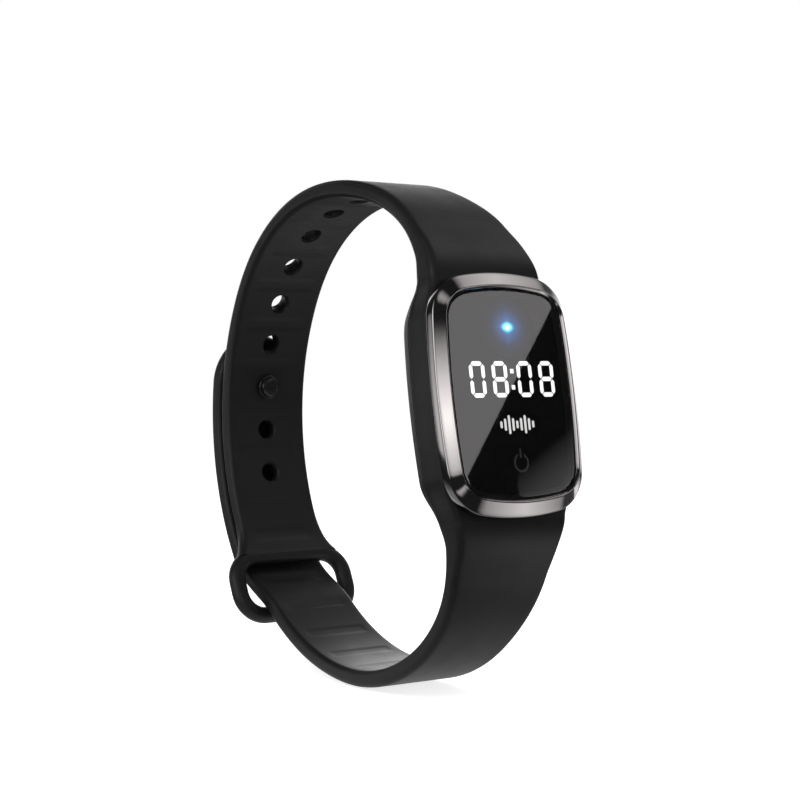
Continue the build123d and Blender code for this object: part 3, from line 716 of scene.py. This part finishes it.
def makeBezel():
    # wall, sloped flank, narrow crest, lip down to the glass, and the ledge below it
    side, end, deep = bezel["sideSlope"], bezel["endSlope"], bezel["slopeDepth"]
    soft = bezel["edge"]
    lip = bezel["lip"]
    window = lip + bezel["ledge"]
    profile = [(0.12, 0.12, -bezel["depth"]), (0.03, 0.03, -bezel["depth"] + 0.04),
               (0.0, 0.0, -bezel["depth"] + 0.13), (0.0, 0.0, -deep - 1.3 * soft),
               (0.02, 0.02, -deep - 0.5 * soft), (0.07, 0.09, -deep + 0.25 * soft),
               (0.15, 0.2, -deep + 0.9 * soft)]
    profile += [(side * f, end * f, -deep * (1 - f)) for f in (0.3, 0.5, 0.7, 0.9)]
    profile += [(side - 0.06, end - 0.07, -0.035), (side, end, -0.006),
                (side + 0.06, end + 0.06, 0.0), (side + 0.12, end + 0.12, -0.012),
                (side + 0.17, end + 0.17, -0.05)]
    profile += [(side + lip - 0.05, end + lip - 0.05, -bezel["lipDepth"] + 0.02),
                (side + lip - 0.01, end + lip - 0.01, -bezel["lipDepth"] - 0.03),
                (side + lip, end + lip, -bezel["lipDepth"] - 0.1),
                (side + lip, end + lip, bezel["ledgeAt"]), (side + window, end + window, bezel["ledgeAt"]),
                (side + window, end + window, -bezel["depth"])]
    grid = sweptOutline(profile)
    piece = makePiece("bezelFrame", grid, materials["gunmetal"], wrapRows=True)
    sharpen(piece, 35)
    return piece


def makeLens():
    # rings drawn in from the outline to the middle, top and bottom, with a softened rim
    side, end = bezel["sideSlope"] + bezel["lip"], bezel["endSlope"] + bezel["lip"]
    angles = outlineAngles()
    rim = outline(angles, side + bezel["glassClear"], end + bezel["glassClear"])
    top, bottom = bezel["glassTop"], bezel["glassBottom"]
    rings = [(0.004, bottom), (0.5, bottom), (0.97, bottom), (0.996, bottom), (1.0, bottom + 0.06),
             (1.0, top - 0.12), (0.996, top - 0.035), (0.988, top - 0.004), (0.975, top), (0.95, top),
             (0.5, top), (0.004, top)]
    grid = np.stack([np.concatenate([rim * scale, np.full((len(rim), 1), height)], 1)
                     for scale, height in rings])
    piece = makePiece("lensGlass", caseToWorld(grid), materials["smokedGlass"], capEnds=True)
    piece.data.materials.append(materials["bondedGlass"])
    under = np.array([height for _, height in rings]) <= bottom
    bonded = np.append(np.repeat(under[:-1] & under[1:], len(rim)), [under[0], under[-1]])
    piece.data.polygons.foreach_set("material_index", bonded.astype(np.int32))
    return piece


halo = {"height": -1.03, "thick": 0.012, "radius": 4.6,
        # (across, up) reach in mm, strength, steepness
        "lobes": [((4.6, 4.6), 0.85, 2.0), ((2.9, 2.6), 0.9, 1.5), ((3.0, 0.6), 0.5, 1.4),
                  ((0.6, 4.4), 0.3, 1.2), ((1.3, 0.9), 4.2, 1.1)],
        "brightest": 6.0,
        "shades": [(0.0, (0.05, 0.20, 0.72)), (0.2, (0.05, 0.30, 0.80)), (0.42, (0.09, 0.62, 0.80)),
                   (0.75, (0.30, 0.90, 0.95)), (1.0, (0.85, 1.0, 1.0))]}


def haloMaterial():
    # blue light that fades out from the status light over the black print
    material, nodes, links, shader = newMaterial("blueHalo")
    low, high = nodeBox("status_light_guide")
    middle = (low + high) / 2
    middle = middle + (halo["height"] - (middle - caseOrigin) @ caseOut) * caseOut
    source = nodes.new("ShaderNodeTexCoord")
    ink = objectNoise(nodes, links, 300)
    links.new(mixColours(nodes, links, ink, (0.0015, 0.0015, 0.002), (0.0025, 0.0025, 0.003)),
              shader.inputs["Base Color"])
    total = None
    for radii, strength, power in halo["lobes"]:
        centred = nodes.new("ShaderNodeMapping")
        centred.vector_type = "TEXTURE"
        centred.inputs["Location"].default_value = middle * mm
        centred.inputs["Rotation"].default_value = (np.arctan2(-caseUp[1], caseUp[2]), 0, 0)
        centred.inputs["Scale"].default_value = (radii[0] * mm, 4 * mm, radii[1] * mm)
        fade = nodes.new("ShaderNodeTexGradient")
        fade.gradient_type = "SPHERICAL"
        links.new(source.outputs["Object"], centred.inputs["Vector"])
        links.new(centred.outputs["Vector"], fade.inputs["Vector"])
        lobe = maths(nodes, links, "POWER", fade.outputs["Fac"], power)
        lobe = maths(nodes, links, "MULTIPLY", lobe, strength)
        total = lobe if total is None else maths(nodes, links, "ADD", total, lobe)
    shader.inputs["Roughness"].default_value = 0.6
    shader.inputs["Specular IOR Level"].default_value = 0.0
    shades = nodes.new("ShaderNodeValToRGB")
    shades.color_ramp.elements.remove(shades.color_ramp.elements[1])
    shades.color_ramp.elements[0].color = (*halo["shades"][0][1], 1)
    for place, shade in halo["shades"][1:]:
        shades.color_ramp.elements.new(place).color = (*shade, 1)
    links.new(ramp(nodes, links, total, 0, 1, 0, halo["brightest"]), shades.inputs["Fac"])
    links.new(shades.outputs["Color"], shader.inputs["Emission Color"])
    links.new(total, shader.inputs["Emission Strength"])
    return material, middle


def makeHalo():
    # a film as thin as print, carrying a painted blue glow round the status light
    material, middle = haloMaterial()
    angle = np.linspace(0, 2 * np.pi, 64, endpoint=False)
    rings = [(0.02, 0)] + [(halo["radius"] * k / 10, 0) for k in range(1, 11)]
    rings += [(radius, -halo["thick"]) for radius, _ in rings[::-1]]
    radius, height = (np.array(column) for column in zip(*rings))
    ring = np.cos(angle)[:, None] * acrossAxis + np.sin(angle)[:, None] * caseUp
    grid = middle + radius[:, None, None] * ring[None] + height[:, None, None] * caseOut
    return makePiece("statusHalo", grid, material, capEnds=True)


bezelPiece = makeBezel()
lens = makeLens()
glow = makeHalo()
print("case made")


nodeMaterials = {
    "lens_adhesive": "blackTape", "display_mask": "blackPrint", "digit_segments": "litWhite",
    "level_icon": "iconWhite", "touch_mark": "touchInkGlow", "status_light_guide": "blueGuide",
    "display_leds": "clearLight", "status_led": "clearLight", "display_board": "greenBoard",
    "touch_electrode": "copperFoil", "mid_frame": "casePlastic", "board_connector": "ivoryPlastic",
    "main_board": "greenBoard", "controller_chip": "chipPackage", "memory_chip": "chipPackage",
    "clock_crystal": "platedCan", "microphone": "platedCan", "microphone_gasket": "softRubber",
    "battery_foam": "blackFoam", "battery_cell": "foilPouch", "battery_pad": "blackTape",
    "battery_tabs": "platedCan", "housing_shell": "casePlastic", "rear_seal": "softRubber",
    "rear_cover": "coverPlastic", "cover_screws": "blackScrew", "charging_contacts": "goldPlate",
    "contact_springs": "goldPlate",
}
for node, look in nodeMaterials.items():
    cadPiece = frame["nodes"][node]
    cadPiece.data.materials.clear()
    cadPiece.data.materials.append(materials[look])
print("CAD nodes painted:", len(nodeMaterials))


for piece, node in ((strap, "strap"), (bezelPiece, "bezel_ring"), (lens, "front_lens"),
                    (stud, "clasp_stud"), (tail, "strap_tail")):
    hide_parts(node)
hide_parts("strap")
for piece, body in ((strap, "band"), (loop, "band"), (stud, "tail"), (bezelPiece, "case"),
                    (lens, "case"), (glow, "case")):
    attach(piece, body)
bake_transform(tail)


studio = {"distance": 0.276, "azimuth": -36.2, "elevation": 2.4, "lens": 81.9,
          "shiftX": 0.0025, "shiftY": 0.04375, "floorDrop": 0.0003, "floorGlow": 0.8, "ambient": 0.3,
          "tent": 0.03, "tentRadius": 0.6, "cardDistance": 0.3, "mirrorDistance": 0.28,
          "mirrorColour": (1.0, 0.975, 0.97), "glassColour": (1.0, 0.97, 0.985), "floorHalf": 3.0,
          "brightestAt": 0.88, "shadeReach": 0.7}
squareCorners = [(-1, -1), (1, -1), (1, 1), (-1, 1)]


def direction(azimuth, elevation):
    # the way out from the middle, azimuth 0 being the front and 90 the right
    turn, rise = np.radians(azimuth), np.radians(elevation)
    return np.array([np.sin(turn) * np.cos(rise), -np.cos(turn) * np.cos(rise), np.sin(rise)])


def aimed(thing, place, target=(0, 0, 0)):
    # its -Z axis looks from its place to the target, with +Y up
    look = np.array(target, float) - np.array(place, float)
    look /= np.linalg.norm(look)
    across = np.cross(look, [0, 0, 1] if abs(look[2]) < 0.999 else [0, 1, 0])
    across /= np.linalg.norm(across)
    up = np.cross(across, look)
    turn = np.eye(4)
    turn[:3, 0], turn[:3, 1], turn[:3, 2], turn[:3, 3] = across, up, -look, place
    thing.matrix_world = Matrix(turn.tolist())


def addCamera():
    camera = bpy.data.objects.new("camera", bpy.data.cameras.new("camera"))
    bpy.context.collection.objects.link(camera)
    camera.data.lens = studio["lens"]
    camera.data.shift_x = studio["shiftX"]
    camera.data.shift_y = studio["shiftY"]
    camera.data.clip_start = 0.005
    aimed(camera, direction(studio["azimuth"], studio["elevation"]) * studio["distance"])
    bpy.context.scene.camera = camera


def softbox(name, azimuth, elevation, distance, size, power):
    # a lamp for matt light only; what shines in the glossy parts hangs in the tent
    light = bpy.data.lights.new(name, "AREA")
    light.shape = "RECTANGLE"
    light.size, light.size_y = size
    light.energy = power
    lamp = bpy.data.objects.new(name, light)
    bpy.context.collection.objects.link(lamp)
    aimed(lamp, direction(azimuth, elevation) * distance)
    lamp.visible_camera = False
    lamp.visible_glossy = False


def onlyInGloss(stageObject):
    # a card that only reflections see: it throws no light or shadow and hides nothing
    stageObject.visible_camera = False
    stageObject.visible_diffuse = False
    stageObject.visible_transmission = False
    stageObject.visible_shadow = False
    bpy.context.collection.objects.link(stageObject)


def stageMesh(name, points, faces, material):
    mesh = bpy.data.meshes.new(name)
    mesh.from_pydata(points, [], faces)
    mesh.materials.append(material)
    return bpy.data.objects.new(name, mesh)


def glowMaterial(name, strength, colour=(1, 1, 1), solid=False):
    # light that hides nothing behind it, unless it is solid
    material = bpy.data.materials.new(name)
    material.use_nodes = True
    nodes, links = material.node_tree.nodes, material.node_tree.links
    nodes.remove(nodes["Principled BSDF"])
    light = nodes.new("ShaderNodeEmission")
    light.inputs["Color"].default_value = (*colour, 1)
    light.inputs["Strength"].default_value = strength
    out = light.outputs[0]
    if not solid:
        both = nodes.new("ShaderNodeAddShader")
        links.new(light.outputs[0], both.inputs[0])
        links.new(nodes.new("ShaderNodeBsdfTransparent").outputs[0], both.inputs[1])
        out = both.outputs[0]
    links.new(out, nodes["Material Output"].inputs["Surface"])
    return material, nodes, links, light.inputs["Strength"]


def softCard(name, size, strength, place, target=(0, 0, 0), colour=(1, 1, 1)):
    # a card whose light fades from its middle to its edges, facing the object or a target
    material, nodes, links, glowLevel = glowMaterial(name, strength, colour)
    source = nodes.new("ShaderNodeTexCoord")
    scale = nodes.new("ShaderNodeMapping")
    scale.inputs["Scale"].default_value = (2 / size[0], 2 / size[1], 1)
    fade = nodes.new("ShaderNodeTexGradient")
    fade.gradient_type = "SPHERICAL"
    links.new(source.outputs["Object"], scale.inputs["Vector"])
    links.new(scale.outputs["Vector"], fade.inputs["Vector"])
    links.new(ramp(nodes, links, fade.outputs["Fac"], 0, strength, 0, 1), glowLevel)
    corners = [(x * size[0] / 2, y * size[1] / 2, 0) for x, y in squareCorners]
    card = stageMesh(name, corners, [(0, 1, 2, 3)], material)
    onlyInGloss(card)
    aimed(card, place, target)


def addTent():
    # a dark tent round the object, flat on the floor, so that black things stay black
    angle, rise = np.meshgrid(np.linspace(0, 2 * np.pi, 48, endpoint=False),
                              np.linspace(-np.pi / 2, np.pi / 2, 25), indexing="ij")
    points = studio["tentRadius"] * np.stack(
        [np.cos(angle) * np.cos(rise), np.sin(angle) * np.cos(rise), np.sin(rise)], -1)
    points[..., 2] = np.maximum(points[..., 2], floorHeight + 0.0002)
    material = glowMaterial("tentCloth", studio["tent"], solid=True)[0]
    faces = gridFaces(48, 25, True, False).tolist()
    onlyInGloss(stageMesh("tent", points.reshape(-1, 3).tolist(), faces, material))


floorHeight = float(cadBox[0][2]) - studio["floorDrop"]


def seenDirectly(nodes, links, otherwise, strength):
    # strength for what the camera sees, straight or in gloss and glass
    ray = nodes.new("ShaderNodeLightPath")
    joined = ray.outputs["Is Camera Ray"]
    for name in ("Is Glossy Ray", "Is Transmission Ray"):
        joined = maths(nodes, links, "MAXIMUM", joined, ray.outputs[name])
    return ramp(nodes, links, joined, otherwise, strength, 0, 1)


def addFloor():
    # a white floor whose own glow only direct sight, gloss and glass show
    material, nodes, links, shader = newMaterial("floorWhite")
    shader.inputs["Base Color"].default_value = (0.85, 0.85, 0.85, 1)
    shader.inputs["Roughness"].default_value = 0.9
    shader.inputs["Specular IOR Level"].default_value = 0.0
    shader.inputs["Emission Color"].default_value = (1, 1, 1, 1)
    links.new(seenDirectly(nodes, links, 0.0, studio["floorGlow"]), shader.inputs["Emission Strength"])
    corners = [(x * studio["floorHalf"], y * studio["floorHalf"], floorHeight) for x, y in squareCorners]
    floor = stageMesh("floor", corners, [(0, 1, 2, 3)], material)
    bpy.context.collection.objects.link(floor)


def addWorld():
    # white where it is seen, dimmer as light on the object
    world = bpy.data.worlds.new("studio")
    bpy.context.scene.world = world
    world.use_nodes = True
    nodes, links = world.node_tree.nodes, world.node_tree.links
    background = nodes["Background"]
    background.inputs["Color"].default_value = (1, 1, 1, 1)
    links.new(seenDirectly(nodes, links, studio["ambient"], 1.0), background.inputs["Strength"])


def mirrorCard(name, spot, normal, size, strength, distance=studio["mirrorDistance"], onFloor=False):
    # a soft card hung where a place on the case, facing along normal, mirrors the camera
    place = caseToWorld(np.array(spot, float)) * mm
    facing = normal[0] * acrossAxis + normal[1] * caseUp + normal[2] * caseOut
    facing /= np.linalg.norm(facing)
    look = place - direction(studio["azimuth"], studio["elevation"]) * studio["distance"]
    look /= np.linalg.norm(look)
    way = look - 2 * (look @ facing) * facing
    if onFloor:
        place = place + way * (floorHeight + 0.0008 - place[2]) / way[2]
        target = place + [0, 0, 1]
    else:
        place, target = place + way * distance, place
    softCard(name, size, strength, place, target, studio["mirrorColour"])


def mirrorPoint(point):
    # the camera's place seen in the plane of the lens
    top = caseToWorld(np.array([0.0, 0.0, bezel["glassTop"]])) * mm
    return point - 2 * ((point - top) @ caseOut) * caseOut


def glassCard(name, corners, reach, strength, shade=False):
    # a flat card that the lens mirrors inside the given corners, each (u, v) on the lens
    eye = mirrorPoint(direction(studio["azimuth"], studio["elevation"]) * studio["distance"])
    flat = np.array([(u, v, bezel["glassTop"]) for u, v in corners])
    onLens = caseToWorld(flat) * mm
    ways = onLens - eye
    centre = ways.mean(0) / np.linalg.norm(ways.mean(0))
    points = eye + ways * ((studio["mirrorDistance"] + reach) / (ways @ centre))[:, None]
    material, nodes, links, glowLevel = glowMaterial(name, strength, studio["glassColour"])
    if shade:
        # brighter towards its lower right
        middle = points.mean(0)
        source = nodes.new("ShaderNodeTexCoord")
        across = nodes.new("ShaderNodeVectorMath")
        across.operation = "DOT_PRODUCT"
        way = points[int(len(points) * studio["brightestAt"])] - middle
        across.inputs[1].default_value = way / (way @ way)
        links.new(source.outputs["Object"], across.inputs[0])
        start = middle @ way / (way @ way)
        reach = studio["shadeReach"]
        links.new(ramp(nodes, links, across.outputs["Value"], 0, strength, start - reach, start + reach),
                  glowLevel)
    onlyInGloss(stageMesh(name, points.tolist(), [tuple(range(len(corners)))], material))


addCamera()
addFloor()
addWorld()
addTent()
# azimuth, elevation, distance, size and power
for name, *lamp in (("keyBox", -75, 40, 0.5, (0.3, 0.35), 1.2), ("topBox", 20, 75, 0.5, (0.4, 0.3), 1.1),
                    ("frontBox", 30, 30, 0.6, (0.3, 0.4), 0.8)):
    softbox(name, *lamp)
mirrorCard("slopeCard", (-11.8, -3.2, -0.6), (-0.635, -0.016, 0.7725), (0.30, 0.125), 3.4)
mirrorCard("wallCard", (-12.5, -3.5, -2.0), (-1.0, -0.027, 0.0), (0.22, 0.20), 1.6)
mirrorCard("lowCard", (0.0, -16.3, -0.6), (0.0, -0.5145, 0.857), (0.055, 0.055), 1.85, onFloor=True)
mirrorCard("highCard", (-0.5, 16.3, -0.6), (-0.01, 0.5145, 0.857), (0.22, 0.24), 1.6)
mirrorCard("upperCorner", (-10.0, 14.6, -0.6), (-0.46, 0.30, 0.81), (0.14, 0.14), 1.3)
mirrorCard("lowerCorner", (-10.0, -14.6, -0.6), (-0.50, -0.30, 0.80), (0.04, 0.04), 1.3, onFloor=True)
mirrorCard("rightCorner", (10.4, -14.4, -0.6), (0.42, -0.38, 0.80), (0.07, 0.07), 1.8, distance=0.1)
for name, azimuth, elevation, size, strength in (
        ("backCard", 140, 14, (0.5, 0.3), 2.6), ("crownCard", 143, 5, (0.42, 0.2), 2.0),
        ("crestCard", 127, 40, (0.4, 0.4), 0.32), ("edgeCard", -96, 10, (0.11, 0.55), 6.0),
        ("rimCard", -70, 6, (0.08, 0.5), 3.0), ("creaseCard", -176, 8, (0.08, 0.45), 3.0)):
    softCard(name, size, strength, direction(azimuth, elevation) * studio["cardDistance"])
for name, x, y, wide, strength in (("floorCard", 0.01, 0.02, 0.14, 0.8),
                                   ("floorGlow", 0.05, 0.06, 0.25, 0.45)):
    softCard(name, (wide, wide), strength, (x, y, floorHeight + 0.0006), (x, y, 1))
glassCard("paneCard", [(12.6, 17.0), (-12.4, -15.0), (-16.0, -15.0), (-16.0, 17.0)], 0.1, 2.55)
turn = np.linspace(0, 2 * np.pi, 60, endpoint=False)
keyCorners = np.stack([8.6 + 9.4 * np.cos(turn), -13.0 + 9.2 * np.sin(turn)], 1)
glassCard("keyCard", keyCorners, 0.12, 2.1, shade=True)
bpy.context.scene.view_settings.view_transform = "Standard"
print("studio set")

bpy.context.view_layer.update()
